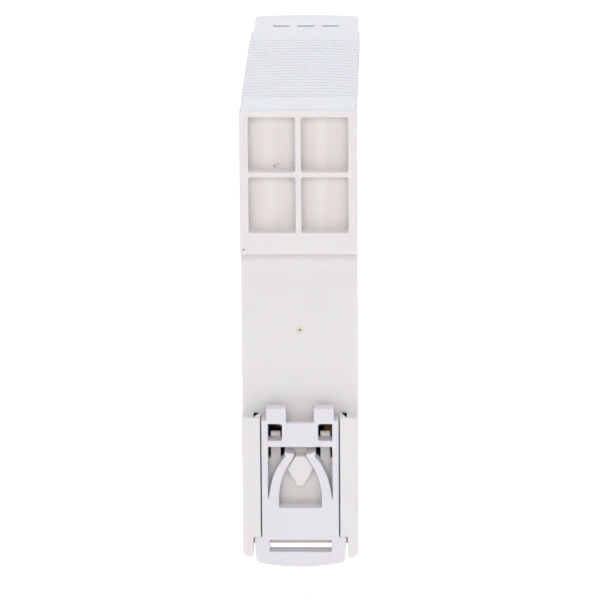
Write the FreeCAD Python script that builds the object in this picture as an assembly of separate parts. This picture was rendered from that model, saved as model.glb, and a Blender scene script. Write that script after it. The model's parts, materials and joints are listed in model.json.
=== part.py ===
import FreeCAD, Part
import math
import os

# Slim two-pole contactor for a 35 mm top-hat rail, in millimetres.
# X runs along the rail, +Z up, -Y to the front. The origin is the centre of the flat seat
# that rests on the front of the rail, level with the rail's own centre line.

V = FreeCAD.Vector

# ---- casing -------------------------------------------------------------------------
HALF = 11.25                # half of the 22.5 mm module width
TOP = 42.5
BOTTOM = -47.0
REAR = 4.0                  # rear-most plane, behind the front face of the rail
SEAT = 0.0                  # front face of the rail
HOOK_EDGE = 14.35           # lower edge of the fixed hook over the rail
BLOCK_EDGE = -18.55         # upper edge of the lower block, under the rail
UNDERCUT_TOP = 17.7         # room for the rail's upper edge, behind the hook
FLANGE_ROOM = 1.4           # room for the rail's 1 mm sheet
SIDE_SEAM = -1.5            # base meets hood on the sides
TOP_SEAM = 2.1              # base meets hood on top
EDGE = 0.2                  # radius of the moulded edges
LAP = 0.5                   # thickness of the hood's lap over the base
CAP_SEAM = -66.0            # hood meets front cap
FRONT = -82.4
BOTTOM_SEAM = -6.0          # the hood's underside starts here
INNER_HALF = 9.2            # inside of the side walls
INNER_TOP = 41.2
INNER_BOTTOM = -45.6
HOOD_HALF_REAR = 11.05      # the hood's sides draw in towards the front
HOOD_HALF_FRONT = 10.36
CAP_HALF = 10.3
BAND_HALF = 11.1            # the top bands stand wider than the sides
RIB_HALF = 11.23
CAP_BAND_HALF = 10.6
BAND_DROP = 1.3             # height over which a band draws back to the side wall
BAND_EDGE = 0.4             # radius along the bands' edges
CROWN = 0.35                # the bands are this much higher in the middle
GROOVES = 20
GROOVE_PITCH = 2.5
FIRST_GROOVE = -7.9
GROOVE_WIDTH = 0.6
GROOVE_DEPTH = 0.2
RIM_HALF = 9.05             # plug-in rims, inside the hood
RIM_WALL = 1.0
FIT = 0.1                   # gap between fixed pieces that touch in the real object

# ---- pockets, seat and lower block of the base -----------------------------------------
POCKET_NEAR = 0.57          # pocket walls, from the middle plane
POCKET_FAR = 9.55
POCKET_FLOOR = 0.3          # at the side walls; the floor bulges towards the rear
POCKET_BULGE = 0.35
POCKET_ROWS = ((30.6, 41.4), (18.6, 29.6))
POCKET_RADIUS = 0.45
GATE_Z = -1.9               # the moulding gate in the seat
LINE_Z = 1.9                # and the parting line above it
RELIEF_TOP = -16.5          # the seat proper ends just above the foot's prongs
CHANNEL_HALF = 7.75         # channel for the rail foot
CHANNEL_STEP = -42.9        # below here the channel is wide enough for the tab
TAB_ROOM = (9.15, 9.35)     # half widths of the tab's room at its upper and lower end
CORE_OUT_Z = (-23.0, -18.7) # openings to the inside at the upper end of the side grooves
FLOOR_END = -45.4           # lower end of the channel floor
DOVETAIL_HALF = 9.1         # groove in each side of the channel
TONGUE_NEAR = 3.9           # spring tongues in the channel floor
TONGUE_FAR = 5.77
TONGUE_TOP = -22.4
TONGUE_ROOT = -27.9
TONGUE_WINDOW = (2.95, 6.35)
TONGUE_WINDOW_TOP = -19.6
CAM_TOP = -26.8             # kite-shaped cam that the foot's legs ride over
CAM_WIDE = -29.3
CAM_END = -32.95
CAM_HEIGHT = 2.4

# ---- rail foot ---------------------------------------------------------------------
FOOT_FACE = REAR
FOOT_BACK = 0.8
FOOT_HALF = 7.5
FOOT_SHOULDER = -19.15
PRONG = (2.7, 6.6)
PRONG_TOP = -16.7
PRONG_BACK = 1.25           # clear of the rail's 1 mm sheet
BAR_TOP = -19.6
WINDOW = (3.5, 6.25)
WINDOW_Z = (-23.2, -19.8)
BAR_BOTTOM = -24.45
FRAME_HALF = 6.25           # opening that the legs stand in
CRACK_HALF = 6.5
ARCH_BOTTOM = -36.9
ARCH_HALF = 4.2
LEG_PIVOT = (5.2, -35.3)
LEG_TIP = -26.6             # the tip's corners lie above here
LEG_SEAT = -35.8            # top of the land on each side of a leg's root
LEG_ROOT_RADIUS = 1.0
RUNNING = 0.05              # radial clearance of what turns
TAB_SHOULDER = -42.9
TAB_HALF = 8.95
TAB_END = -49.0
TAB_CORNER = -46.9
FLANGE_Z = (-42.5, -29.0)   # the foot's flanges in the side grooves
SLOT_HALF = 6.05
SLOT_Z = (-45.95, -43.5)

# ---- terminals -----------------------------------------------------------------------
POLES = (-5.0, 0.0, 5.0)
TERMINAL_TOP = 36.0         # height of the screws
TERMINAL_BOTTOM = -40.5
ENTRY = (-73.4, -70.9)      # wire entry, front and rear edge
ENTRY_HALF = 1.75
ENTRY_RAMP = 2.3            # length of the ramp that leads into it from the front
ENTRY_DROP = 0.33           # depth at the foot of that ramp
ENTRY_UNDERCUT = (0.9, 1.3) # reach of the hollow below the ramp, and its depth
CAGE_HALF = 2.1
CAGE_WINDOW_HALF = 1.7
CAGE_REACH = 2.4            # half of its height
CAGE_FRONT_WALL = (-77.1, -75.9)
CAGE_REAR_WALL = (-70.9, -70.1)
BAR_HALF = 1.6
BAR_SHEET = 0.8
BAR_FACE = -75.0            # rear face of the bar inside the cage
SCREW_RADIUS = 1.45
HEAD_RADIUS = 1.95
HEAD = (-81.2, -79.6)
DRIVER_HOLE = 1.8

# ---- magnet and contacts --------------------------------------------------------------
MAGNET_Z = 6.0              # height of the magnet's middle
STACK_HALF = 3.6
POLE_HALF = 4.0
LEG_INNER = 9.7
LEG_OUTER = 13.7
CORE_REAR = -4.0
YOKE_FRONT = -9.0
CORE_FACE = -30.0
ARMATURE = (-36.8, -32.3)
BRIDGE_REAR = -44.1
CONTACT_REACH = 9.2         # contacts above and below the magnet's middle
FIXED_FACE = -41.8          # front faces of the fixed contacts
SPRING_Z = -12.0            # height of the return spring
BOARD_X = (-6.1, -4.6)
BOARD_TOP = -22.7
PIPE_Z = -20.0              # height of the light pipe
LEAD_X = 5.2                # the coil's leads pass beside the core
LEAD_Y = -20.0
LEAD_RADIUS = 0.35


def box(x0, x1, y0, y1, z0, z1):
    """A block between two opposite corners."""
    return Part.makeBox(x1 - x0, y1 - y0, z1 - z0, V(x0, y0, z0))


def pair(near, far, y0, y1, z0, z1):
    """Two blocks, mirrored about the middle plane."""
    return [box(near, far, y0, y1, z0, z1), box(-far, -near, y0, y1, z0, z1)]


def rod(radius, start, end):
    """A round bar from one point to another."""
    way = V(*end) - V(*start)
    return Part.makeCylinder(radius, way.Length, V(*start), way)


def prism(points, way):
    """A closed outline of straight lines, pushed along a direction."""
    corners = [V(*point) for point in points]
    outline = Part.makePolygon(corners + [corners[0]])
    return Part.Face(outline).extrude(V(*way))


def prism_y(points, y0, y1):
    """An outline in X and Z, from depth y0 to depth y1."""
    return prism([(x, y0, z) for x, z in points], (0, y1 - y0, 0))


def prism_z(points, z0, z1):
    """An outline in X and Y, from z0 to z1."""
    return prism([(x, y, z0) for x, y in points], (0, 0, z1 - z0))


def mirrored(shape):
    """The same shape on the other side of the middle plane."""
    return shape.mirror(V(0, 0, 0), V(1, 0, 0))


def flipped(shape):
    """The same shape at the other end of the casing, top for bottom."""
    return shape.mirror(V(0, 0, (TOP + BOTTOM) / 2), V(0, 0, 1))


def join(first, *others):
    """One solid from several that touch."""
    flat = []
    for other in others:
        flat.extend(other if isinstance(other, list) else [other])
    return first.fuse(flat).removeSplitter() if flat else first


def cut(shape, *others):
    """The shape with the others taken away."""
    flat = []
    for other in others:
        flat.extend(other if isinstance(other, list) else [other])
    return shape.cut(flat)


def softened(shape, radius, chosen):
    """The shape with some edges rounded: those whose bounds the given test accepts."""
    return shape.makeFillet(radius, [edge for edge in shape.Edges if chosen(edge.BoundBox)])


def rear_plane(bounds):
    """True for an edge that lies in the rear-most plane."""
    return bounds.YMin > REAR - 0.001


def top_plane(bounds):
    """True for an edge that lies in the top plane."""
    return bounds.ZMin > TOP - 0.001


def rounded_box(x0, x1, y0, y1, z0, z1, radius, axis):
    """A block whose four edges along one axis are rounded."""
    block = box(x0, x1, y0, y1, z0, z1)
    along = [edge for edge in block.Edges if abs(edge.tangentAt(0).dot(V(*axis))) > 0.99]
    return block.makeFillet(radius, along)


def band(half, y0, y1, crown, under):
    """A crowned strip on top of the casing, drawing in below to the half width `under`."""
    swing = BAND_EDGE * (1 - math.sqrt(0.5))
    top_right = V(half - BAND_EDGE, y0, TOP)
    top_left = V(BAND_EDGE - half, y0, TOP)
    right = V(half, y0, TOP - BAND_EDGE)
    left = V(-half, y0, TOP - BAND_EDGE)
    outline = Part.Wire([
        Part.Arc(top_right, V(0, y0, TOP + crown), top_left).toShape(),
        Part.Arc(top_left, V(swing - half, y0, TOP - swing), left).toShape(),
        Part.makePolygon([left, V(-under, y0, TOP - BAND_DROP), V(under, y0, TOP - BAND_DROP), right]),
        Part.Arc(right, V(half - swing, y0, TOP - swing), top_right).toShape(),
    ])
    return Part.Face(outline).extrude(V(0, y1 - y0, 0))


# ---- casing ---------------------------------------------------------------------------
def rear_base():
    block = join(
        box(-HALF, HALF, SIDE_SEAM, REAR, HOOK_EDGE, TOP),
        box(-HALF, HALF, SIDE_SEAM, SEAT, BLOCK_EDGE, HOOK_EDGE),
        box(-HALF, HALF, SIDE_SEAM, REAR, BOTTOM, BLOCK_EDGE),
    )
    corners = [edge for edge in block.Edges
               if abs(edge.tangentAt(0).y) > 0.99 and abs(edge.CenterOfMass.z - BOTTOM) < 0.01]
    block = block.makeFillet(1.2, corners)
    lap = box(-HALF, HALF, SIDE_SEAM, TOP_SEAM, TOP - LAP - FIT / 2, TOP)
    undercut = box(-HALF, HALF, SEAT, SEAT + FLANGE_ROOM, HOOK_EDGE, UNDERCUT_TOP)
    block = softened(cut(block, lap, pockets(), foot_channel()), EDGE, rear_plane)
    block = cut(block, undercut, seat_marks())
    block = join(block, base_rim(), foot_cam(), spring_tongues())
    return cut(block, rim_space())


def pockets():
    """Four core-outs behind the hook, their floors bulging a little in the middle."""
    holes = []
    span = POCKET_FAR - POCKET_NEAR
    bulge_radius = (span ** 2 / 4 + POCKET_BULGE ** 2) / (2 * POCKET_BULGE)
    middle = (POCKET_NEAR + POCKET_FAR) / 2
    depth = POCKET_FLOOR + POCKET_BULGE - bulge_radius
    for low, high in POCKET_ROWS:
        hole = rounded_box(POCKET_NEAR, POCKET_FAR, POCKET_FLOOR, REAR, low, high, POCKET_RADIUS, (0, 1, 0))
        hole = cut(hole, rod(bulge_radius, (middle, depth, low - 1), (middle, depth, high + 1)))
        holes.extend([hole, mirrored(hole)])
    return holes


def foot_channel():
    """Room for the rail foot, with its side grooves, tongue windows and lower notch."""
    groove = prism_z([(7.0, SEAT), (DOVETAIL_HALF, SEAT), (DOVETAIL_HALF, 3.5), (8.15, 0.95), (7.0, 0.95)],
                     CHANNEL_STEP, BLOCK_EDGE)
    window = rounded_box(TONGUE_WINDOW[0], TONGUE_WINDOW[1], SIDE_SEAM, SEAT,
                         TONGUE_ROOT, TONGUE_WINDOW_TOP, 0.25, (0, 1, 0))
    upper, lower = TAB_ROOM
    return [
        box(-CHANNEL_HALF, CHANNEL_HALF, SEAT, REAR, CHANNEL_STEP, BLOCK_EDGE),
        prism_y([(-upper, CHANNEL_STEP), (upper, CHANNEL_STEP), (lower, BOTTOM), (-lower, BOTTOM)],
                SEAT, REAR),
        box(-lower, lower, SIDE_SEAM, SEAT, BOTTOM, FLOOR_END),
        groove,
        mirrored(groove),
        window,
        mirrored(window),
    ]


def seat_marks():
    """The moulding gate in the seat, its parting line with nicks, and a relief under the prongs."""
    gate = rod(0.8, (0, SEAT - 0.03, GATE_Z), (0, SEAT, GATE_Z))
    nub = rod(0.6, (0, SEAT - 0.03, GATE_Z), (0, SEAT, GATE_Z))
    dimple = Part.makeCone(0.05, 0.22, 0.3, V(0, SEAT - 0.3, GATE_Z), V(0, 1, 0))
    line = box(-HALF, HALF, SEAT - 0.015, SEAT, LINE_Z - 0.05, LINE_Z + 0.05)
    nicks = pair(HALF - 0.2, HALF, SEAT - 0.5, SEAT, LINE_Z - 0.2, LINE_Z + 0.2)
    relief = box(-HALF, HALF, SEAT - 0.02, SEAT, BLOCK_EDGE, RELIEF_TOP)
    return [gate.cut(nub), dimple, line, relief] + nicks


def base_rim():
    """The rim that plugs into the hood, its snap lugs, and the post of the return spring."""
    rim = box(-RIM_HALF, RIM_HALF, -8.0, SIDE_SEAM, FLOOR_END, INNER_TOP - FIT)
    lugs = []
    for height in (27.0, -32.0):
        lug = prism_z([(RIM_HALF - 0.2, -3.6), (10.3, -3.6), (RIM_HALF, -6.6), (RIM_HALF - 0.2, -6.6)],
                      height - 3.0, height + 3.0)
        lugs.extend([lug, mirrored(lug)])
    return [rim] + lugs


def rim_space():
    """Everything inside the rim, apart from the spring post, and the openings beside the channel."""
    space = box(-RIM_HALF + RIM_WALL, RIM_HALF - RIM_WALL, -8.0, SIDE_SEAM,
                FLOOR_END + RIM_WALL, INNER_TOP - FIT - RIM_WALL)
    space = cut(space, rod(2.4, (0, -8.0, SPRING_Z), (0, SIDE_SEAM, SPRING_Z)))
    return [space] + pair(CHANNEL_HALF + 0.3, DOVETAIL_HALF, -8.0, SEAT, *CORE_OUT_Z)


def foot_cam():
    """The kite-shaped cam on the channel floor."""
    upper = [(0.95, CAM_TOP), (2.57, CAM_WIDE)]
    lower_arc = Part.Arc(V(2.57, SEAT, CAM_WIDE), V(1.72, SEAT, -31.0), V(0.6, SEAT, CAM_END)).toShape()
    mirror_arc = Part.Arc(V(-0.6, SEAT, CAM_END), V(-1.72, SEAT, -31.0), V(-2.57, SEAT, CAM_WIDE)).toShape()
    edges = [
        Part.makeLine(V(upper[0][0], SEAT, upper[0][1]), V(upper[1][0], SEAT, upper[1][1])),
        lower_arc,
        Part.makeLine(V(0.6, SEAT, CAM_END), V(-0.6, SEAT, CAM_END)),
        mirror_arc,
        Part.makeLine(V(-2.57, SEAT, CAM_WIDE), V(-0.95, SEAT, CAM_TOP)),
        Part.makeLine(V(-0.95, SEAT, CAM_TOP), V(0.95, SEAT, CAM_TOP)),
    ]
    kite = Part.Face(Part.Wire(edges)).extrude(V(0, CAM_HEIGHT + 0.5, 0))
    kite.translate(V(0, -0.5, 0))
    rim = [edge for edge in kite.Edges if edge.BoundBox.YMin > CAM_HEIGHT - 0.001]
    return kite.makeChamfer(EDGE, rim)


def spring_tongues():
    """Two tongues that press on the foot, each with a round bar along its free end."""
    radius = 0.75
    depth = SEAT - 0.1
    height = TONGUE_TOP - radius
    tongue = box(TONGUE_NEAR, TONGUE_FAR, SIDE_SEAM, SEAT, TONGUE_ROOT - 0.5, height)
    bar = rod(radius, (TONGUE_NEAR, depth, height), (TONGUE_FAR, depth, height))
    tongue = join(tongue, bar)
    return [tongue, mirrored(tongue)]


def hood():
    rear = Part.makePolygon([V(x, SIDE_SEAM, z) for x, z in hood_outline(HOOD_HALF_REAR)])
    front = Part.makePolygon([V(x, CAP_SEAM, z) for x, z in hood_outline(HOOD_HALF_FRONT)])
    shell = Part.makeLoft([rear, front], True, True)
    shell = join(shell, hood_bands())
    under_lap = box(-HALF, HALF, SIDE_SEAM, TOP_SEAM, INNER_TOP - 1.0, TOP - LAP)
    inside = box(-INNER_HALF, INNER_HALF, CAP_SEAM, SIDE_SEAM, INNER_BOTTOM, INNER_TOP)
    below = box(-HALF - 1, HALF + 1, BOTTOM_SEAM, TOP_SEAM, BOTTOM - 1, INNER_BOTTOM)
    return cut(shell, under_lap, inside, below, band_grooves(), snap_windows())


def hood_outline(half):
    """The hood's section in X and Z, a little lower than the bands that cover its top."""
    high = TOP - 0.25
    return [(-half, BOTTOM), (half, BOTTOM), (half, high), (-half, high), (-half, BOTTOM)]


def hood_bands():
    """The upper strips of the hood: rear lap, ribbed grip and front strip with its bumps."""
    ribbed_end = FIRST_GROOVE - GROOVES * GROOVE_PITCH
    return [
        band(BAND_HALF, -4.0, TOP_SEAM, 0.1, 10.9),
        band(BAND_HALF - 0.25, -4.4, -4.0, 0.1, 10.8),
        band(BAND_HALF, FIRST_GROOVE, -4.4, 0.1, 10.8),
        band(RIB_HALF, ribbed_end, FIRST_GROOVE, CROWN, 10.6),
        band(BAND_HALF, CAP_SEAM, ribbed_end, CROWN, HOOD_HALF_FRONT),
    ]


def band_grooves():
    """Cross grooves: over the top band and down its ends, and across the underside."""
    outer = box(-HALF - 1, HALF + 1, -GROOVE_WIDTH / 2, GROOVE_WIDTH / 2, TOP - 2.2, TOP + 1)
    keep = band(RIB_HALF - GROOVE_DEPTH, -GROOVE_WIDTH / 2, GROOVE_WIDTH / 2, CROWN, 10.5)
    keep.translate(V(0, 0, -GROOVE_DEPTH))
    core = box(-10.4, 10.4, -GROOVE_WIDTH / 2, GROOVE_WIDTH / 2, TOP - 2.2, TOP - BAND_DROP)
    cutter = outer.cut(keep.fuse(core))
    grooves = []
    under = box(-HALF - 1, HALF + 1, -GROOVE_WIDTH / 2, GROOVE_WIDTH / 2, BOTTOM - 1, BOTTOM + GROOVE_DEPTH)
    for index in range(GROOVES):
        for shape in (cutter, under):
            groove = shape.copy()
            groove.translate(V(0, FIRST_GROOVE - (index + 0.5) * GROOVE_PITCH, 0))
            grooves.append(groove)
    return grooves


def snap_windows():
    """Windows for the lugs of the base and of the front cap."""
    windows = []
    for height in (27.0, -32.0):
        windows.extend(pair(INNER_HALF - 1, HALF + 1, -6.8, -3.4, height - 3.2, height + 3.2))
        windows.extend(pair(INNER_HALF - 1, HALF + 1, -64.8, -62.6, height - 3.2, height + 3.2))
    return windows


def cap_outline(half, side, front, rear):
    """Plan of the front cap: straight sides, rounded corners and a bowed front."""
    corner = 1.0
    swing = corner * (1 - math.sqrt(0.5))
    bend_in = V(half, side + corner, 0)
    bend_out = V(half - corner, side, 0)
    right = [
        Part.makeLine(V(half, rear, 0), bend_in),
        Part.Arc(bend_in, V(half - swing, side + swing, 0), bend_out).toShape(),
    ]
    bow = Part.Arc(bend_out, V(0, front, 0), V(corner - half, side, 0)).toShape()
    left = [edge.mirror(V(0, 0, 0), V(1, 0, 0)) for edge in right]
    closing = Part.makeLine(V(-half, rear, 0), V(half, rear, 0))
    return Part.Wire(Part.__sortEdges__(right + [bow] + left + [closing]))


def front_cap():
    body = Part.Face(cap_outline(CAP_HALF, -81.2, FRONT, CAP_SEAM)).extrude(V(0, 0, TOP - BOTTOM))
    body.translate(V(0, 0, BOTTOM))
    lip = Part.Face(cap_outline(CAP_BAND_HALF, -81.2, FRONT, CAP_SEAM)).extrude(V(0, 0, 0.9))
    lip.translate(V(0, 0, TOP - 0.9))
    body = softened(join(body, lip), 0.3, top_plane)
    inside = box(-INNER_HALF, INNER_HALF, -80.2, CAP_SEAM, INNER_BOTTOM, INNER_TOP)
    body = cut(body, inside)
    rim = cut(
        join(box(-RIM_HALF, RIM_HALF, CAP_SEAM - 1.0, -62.0, INNER_BOTTOM + FIT, INNER_TOP - FIT),
             box(-INNER_HALF, INNER_HALF, CAP_SEAM - 1.0, CAP_SEAM, INNER_BOTTOM, INNER_TOP)),
        box(-RIM_HALF + RIM_WALL, RIM_HALF - RIM_WALL, CAP_SEAM - 1.0, -62.0,
            INNER_BOTTOM + FIT + RIM_WALL, INNER_TOP - FIT - RIM_WALL),
    )
    lugs = []
    for height in (27.0, -32.0):
        lug = prism_z([(RIM_HALF - 0.2, -64.6), (10.0, -64.6), (RIM_HALF, -62.4), (RIM_HALF - 0.2, -62.4)],
                      height - 3.0, height + 3.0)
        lugs.extend([lug, mirrored(lug)])
    guide = box(-INNER_HALF - 0.1, INNER_HALF + 0.1, -77.5, -69.2, 38.9, INNER_TOP + 0.1)
    walls = [box(x - 0.2, x + 0.2, -80.4, -69.2, 32.0, 39.0) for x in (-2.5, 2.5)]
    outer_walls = pair(7.4, INNER_HALF + 0.1, -80.4, -69.2, 32.0, 39.0)
    terminal_block = [guide] + walls + outer_walls
    body = join(body, rim, lugs, terminal_block, [flipped(piece) for piece in terminal_block])
    return cut(body, cap_holes())


def cap_holes():
    """Wire entries, screw wells, the recess of the marking plate and its windows."""
    holes = [
        box(-8.4, 8.4, FRONT - 1, -81.35, -27.2, 22.2),
        box(-2.3, 2.3, FRONT - 1, -80.0, MAGNET_Z - 3.3, MAGNET_Z + 3.3),
        rod(1.65, (0, FRONT - 1, PIPE_Z), (0, -80.0, PIPE_Z)),
    ]
    for x in POLES:
        entry = rounded_box(x - ENTRY_HALF, x + ENTRY_HALF, ENTRY[0], ENTRY[1], 38.0, TOP + 1, 0.4, (0, 0, 1))
        entry = join(entry, entry_ramp(x))
        well = rod(HEAD_RADIUS + 0.1, (x, HEAD[0] - 0.1, TERMINAL_TOP), (x, -79.0, TERMINAL_TOP))
        driver = rod(DRIVER_HOLE, (x, FRONT - 1, TERMINAL_TOP), (x, HEAD[0], TERMINAL_TOP))
        for hole in (entry, well, driver):
            holes.extend([hole, flipped(hole)])
    return holes


def entry_ramp(x):
    """The ramp in front of a wire entry that leads the wire in, and the hollow below it."""
    edge = TOP - ENTRY_DROP
    side = x - ENTRY_HALF
    inner = ENTRY[0] + 0.5
    outer = ENTRY[0] - ENTRY_RAMP
    reach, depth = ENTRY_UNDERCUT
    outline = [(side, inner, 38.0), (side, ENTRY[0] - reach, 38.0), (side, ENTRY[0] - reach, TOP - depth),
               (side, ENTRY[0], edge), (side, outer, TOP), (side, outer, TOP + 1), (side, inner, TOP + 1)]
    return prism(outline, (2 * ENTRY_HALF, 0, 0))


def marking_plate():
    """The blank plate in the front, flush with the cap's bow."""
    plate = Part.Face(cap_outline(CAP_HALF, -81.2, FRONT, -81.3)).extrude(V(0, 0, 49.0))
    plate.translate(V(0, 0, -27.0))
    plate = plate.common(box(-8.2, 8.2, FRONT - 1, -81.4, -27.0, 22.0))
    return cut(
        plate,
        box(-2.3, 2.3, FRONT - 1, -80.0, MAGNET_Z - 3.3, MAGNET_Z + 3.3),
        rod(1.65, (0, FRONT - 1, PIPE_Z), (0, -80.0, PIPE_Z)),
    )


# ---- rail foot ------------------------------------------------------------------------
def rail_foot():
    plate = join(
        box(-FOOT_HALF, FOOT_HALF, FOOT_BACK, FOOT_FACE, TAB_SHOULDER - 0.5, FOOT_SHOULDER),
        tab(),
        pair(5.9, DOVETAIL_HALF - 0.25, SEAT + 0.25, FOOT_BACK, *FLANGE_Z),
    )
    prongs = []
    for x0, x1 in (PRONG, (-PRONG[1], -PRONG[0])):
        prongs.append(rounded_prong(x0, x1))
    half_opening = [(FRAME_HALF, BAR_BOTTOM), (FRAME_HALF, -29.0), (CRACK_HALF, -32.5),
                    (CRACK_HALF, LEG_SEAT), (ARCH_HALF, LEG_SEAT), (ARCH_HALF, ARCH_BOTTOM)]
    opening = prism_y(half_opening + [(-x, z) for x, z in reversed(half_opening)], SEAT, FOOT_FACE)
    windows = []
    for x0, x1 in (WINDOW, (-WINDOW[1], -WINDOW[0])):
        windows.append(rounded_box(x0, x1, SEAT, FOOT_FACE, WINDOW_Z[0], WINDOW_Z[1], 0.35, (0, 1, 0)))
    sockets = [leg_root(RUNNING), mirrored(leg_root(RUNNING))]
    slot = rounded_box(-SLOT_HALF, SLOT_HALF, SEAT, FOOT_FACE, SLOT_Z[0], SLOT_Z[1], 0.3, (0, 1, 0))
    between = box(-PRONG[0], PRONG[0], SEAT, FOOT_FACE, BAR_TOP, FOOT_SHOULDER)
    thin_bar = box(-3.2, 3.2, SEAT, CAM_HEIGHT + 0.3, BAR_BOTTOM - 0.1, FOOT_SHOULDER + 0.1)
    foot = softened(cut(join(plate, prongs), opening, windows, slot, between), EDGE, rear_plane)
    return cut(foot, sockets, thin_bar)


def rounded_prong(x0, x1):
    prong = box(x0, x1, PRONG_BACK, FOOT_FACE, FOOT_SHOULDER - 0.5, PRONG_TOP)
    tips = [edge for edge in prong.Edges
            if abs(edge.tangentAt(0).y) > 0.99 and edge.CenterOfMass.z > PRONG_TOP - 0.01]
    return prong.makeFillet(0.35, tips)


def tab():
    """The handle below the casing: narrower towards its convex lower edge."""
    face = FOOT_BACK
    low = V(7.6, face, TAB_END + 0.68)
    turn = V(8.75, face, TAB_CORNER)
    edges = [
        Part.makeLine(V(-TAB_HALF, face, TAB_SHOULDER), V(TAB_HALF, face, TAB_SHOULDER)),
        Part.makeLine(V(TAB_HALF, face, TAB_SHOULDER), turn),
        Part.Arc(turn, V(8.45, face, TAB_END + 1.17), low).toShape(),
        Part.Arc(low, V(0, face, TAB_END), V(-low.x, face, low.z)).toShape(),
        Part.Arc(V(-low.x, face, low.z), V(-8.45, face, TAB_END + 1.17), V(-turn.x, face, turn.z)).toShape(),
        Part.makeLine(V(-turn.x, face, turn.z), V(-TAB_HALF, face, TAB_SHOULDER)),
    ]
    return Part.Face(Part.Wire(edges)).extrude(V(0, FOOT_FACE - FOOT_BACK, 0))


def leg_root(clearance):
    """The round root of the leg on the +X side, or with a clearance the socket for it."""
    x, z = LEG_PIVOT
    return rod(LEG_ROOT_RADIUS + clearance, (x, FOOT_BACK, z), (x, FOOT_FACE, z))


def foot_leg():
    """The leg on the +X side: a curved spring leg that hugs the cam, with a round root."""
    outer = [(3.12, -25.52), (2.85, -26.36), (3.55, -27.22), (4.24, -28.25), (4.88, -29.6),
             (5.38, -30.86), (5.76, -32.4), (5.98, -33.5), (6.14, -34.5), (6.2, LEG_PIVOT[1])]
    inner = [(4.2, LEG_PIVOT[1]), (4.15, -34.2), (3.99, -32.7), (3.69, -31.3), (3.27, -30.05),
             (2.74, -28.95), (2.25, -28.05), (1.66, -27.2), (1.3, -26.55), (1.09, -25.97)]
    outer_curve = Part.BSplineCurve()
    outer_curve.interpolate([V(x, FOOT_BACK, z) for x, z in outer[1:]])
    inner_curve = Part.BSplineCurve()
    inner_curve.interpolate([V(x, FOOT_BACK, z) for x, z in inner])
    edges = [
        Part.makeLine(V(outer[0][0], FOOT_BACK, outer[0][1]), V(outer[1][0], FOOT_BACK, outer[1][1])),
        outer_curve.toShape(),
        Part.makeLine(V(outer[-1][0], FOOT_BACK, outer[-1][1]), V(inner[0][0], FOOT_BACK, inner[0][1])),
        inner_curve.toShape(),
        Part.makeLine(V(inner[-1][0], FOOT_BACK, inner[-1][1]), V(outer[0][0], FOOT_BACK, outer[0][1])),
    ]
    blade = Part.Face(Part.Wire(edges)).extrude(V(0, FOOT_FACE - FOOT_BACK, 0))
    blade = softened(blade, 0.25, lambda bounds: bounds.YLength > 1 and bounds.ZMin > LEG_TIP)
    blade = softened(blade, EDGE, lambda bounds: rear_plane(bounds) and bounds.ZMax > LEG_PIVOT[1] + 0.01)
    return join(blade, leg_root(0.0))


# ---- terminals ------------------------------------------------------------------------
def clamp_cage(x, z):
    """A cage that the screw draws forward, gripping the wire against the bar."""
    low = z - CAGE_REACH
    high = z + CAGE_REACH
    block = box(x - CAGE_HALF, x + CAGE_HALF, CAGE_FRONT_WALL[0], CAGE_REAR_WALL[1], low, high)
    window = box(x - CAGE_WINDOW_HALF, x + CAGE_WINDOW_HALF, CAGE_FRONT_WALL[1], CAGE_REAR_WALL[0], low, high)
    thread = rod(SCREW_RADIUS + RUNNING, (x, CAGE_FRONT_WALL[0], z), (x, CAGE_FRONT_WALL[1], z))
    return cut(block, window, thread)


def terminal_screw(x, z):
    """A cheese-head screw with a combined slot and cross, its tip against the bar."""
    tip = BAR_FACE - BAR_SHEET - 0.05
    head = rod(HEAD_RADIUS, (x, HEAD[0], z), (x, HEAD[1], z))
    head = softened(head, 0.3, lambda bounds: bounds.YMax < HEAD[0] + 0.01)
    screw = join(head, rod(SCREW_RADIUS, (x, HEAD[1], z), (x, tip, z)))
    slot = box(x - HEAD_RADIUS, x + HEAD_RADIUS, HEAD[0], HEAD[0] + 0.7, z - 0.3, z + 0.3)
    cross = box(x - 0.3, x + 0.3, HEAD[0], HEAD[0] + 0.8, z - 1.1, z + 1.1)
    return cut(screw, slot, cross)


def sheet_bar(x, route):
    """A bent strip of copper: a route of points in Y and Z with its sheet on one side."""
    pieces = []
    for (y0, z0), (y1, z1) in zip(route, route[1:]):
        low_y, high_y = min(y0, y1), max(y0, y1)
        low_z, high_z = min(z0, z1), max(z0, z1)
        pieces.append(box(x - BAR_HALF, x + BAR_HALF, low_y - BAR_SHEET / 2, high_y + BAR_SHEET / 2,
                          low_z - BAR_SHEET / 2, high_z + BAR_SHEET / 2))
    return join(pieces[0], pieces[1:])


def current_bars():
    """Six bars, from each clamp to its contact, its coil end or the board."""
    tongue = BAR_FACE - BAR_SHEET / 2
    contact = FIXED_FACE + 0.5 + BAR_SHEET / 2
    bars = {}
    for number, x in enumerate((POLES[0], POLES[2]), start=1):
        bars[f"line_bar_{number}"] = sheet_bar(x, [
            (tongue, 38.2), (tongue, 29.0), (contact, 29.0), (contact, MAGNET_Z + 8.2)])
        bars[f"load_bar_{number}"] = sheet_bar(x, [
            (tongue, -42.7), (tongue, -9.0), (contact, -9.0), (contact, MAGNET_Z - 8.2)])
    bars["coil_bar_upper"] = sheet_bar(POLES[1], [
        (tongue, 38.2), (tongue, 29.0), (LEAD_Y, 29.0), (LEAD_Y, 23.0)])
    bars["coil_bar_lower"] = sheet_bar(POLES[1], [(tongue, -42.7), (tongue, -35.0), (-50.0, -35.0)])
    return bars


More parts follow.
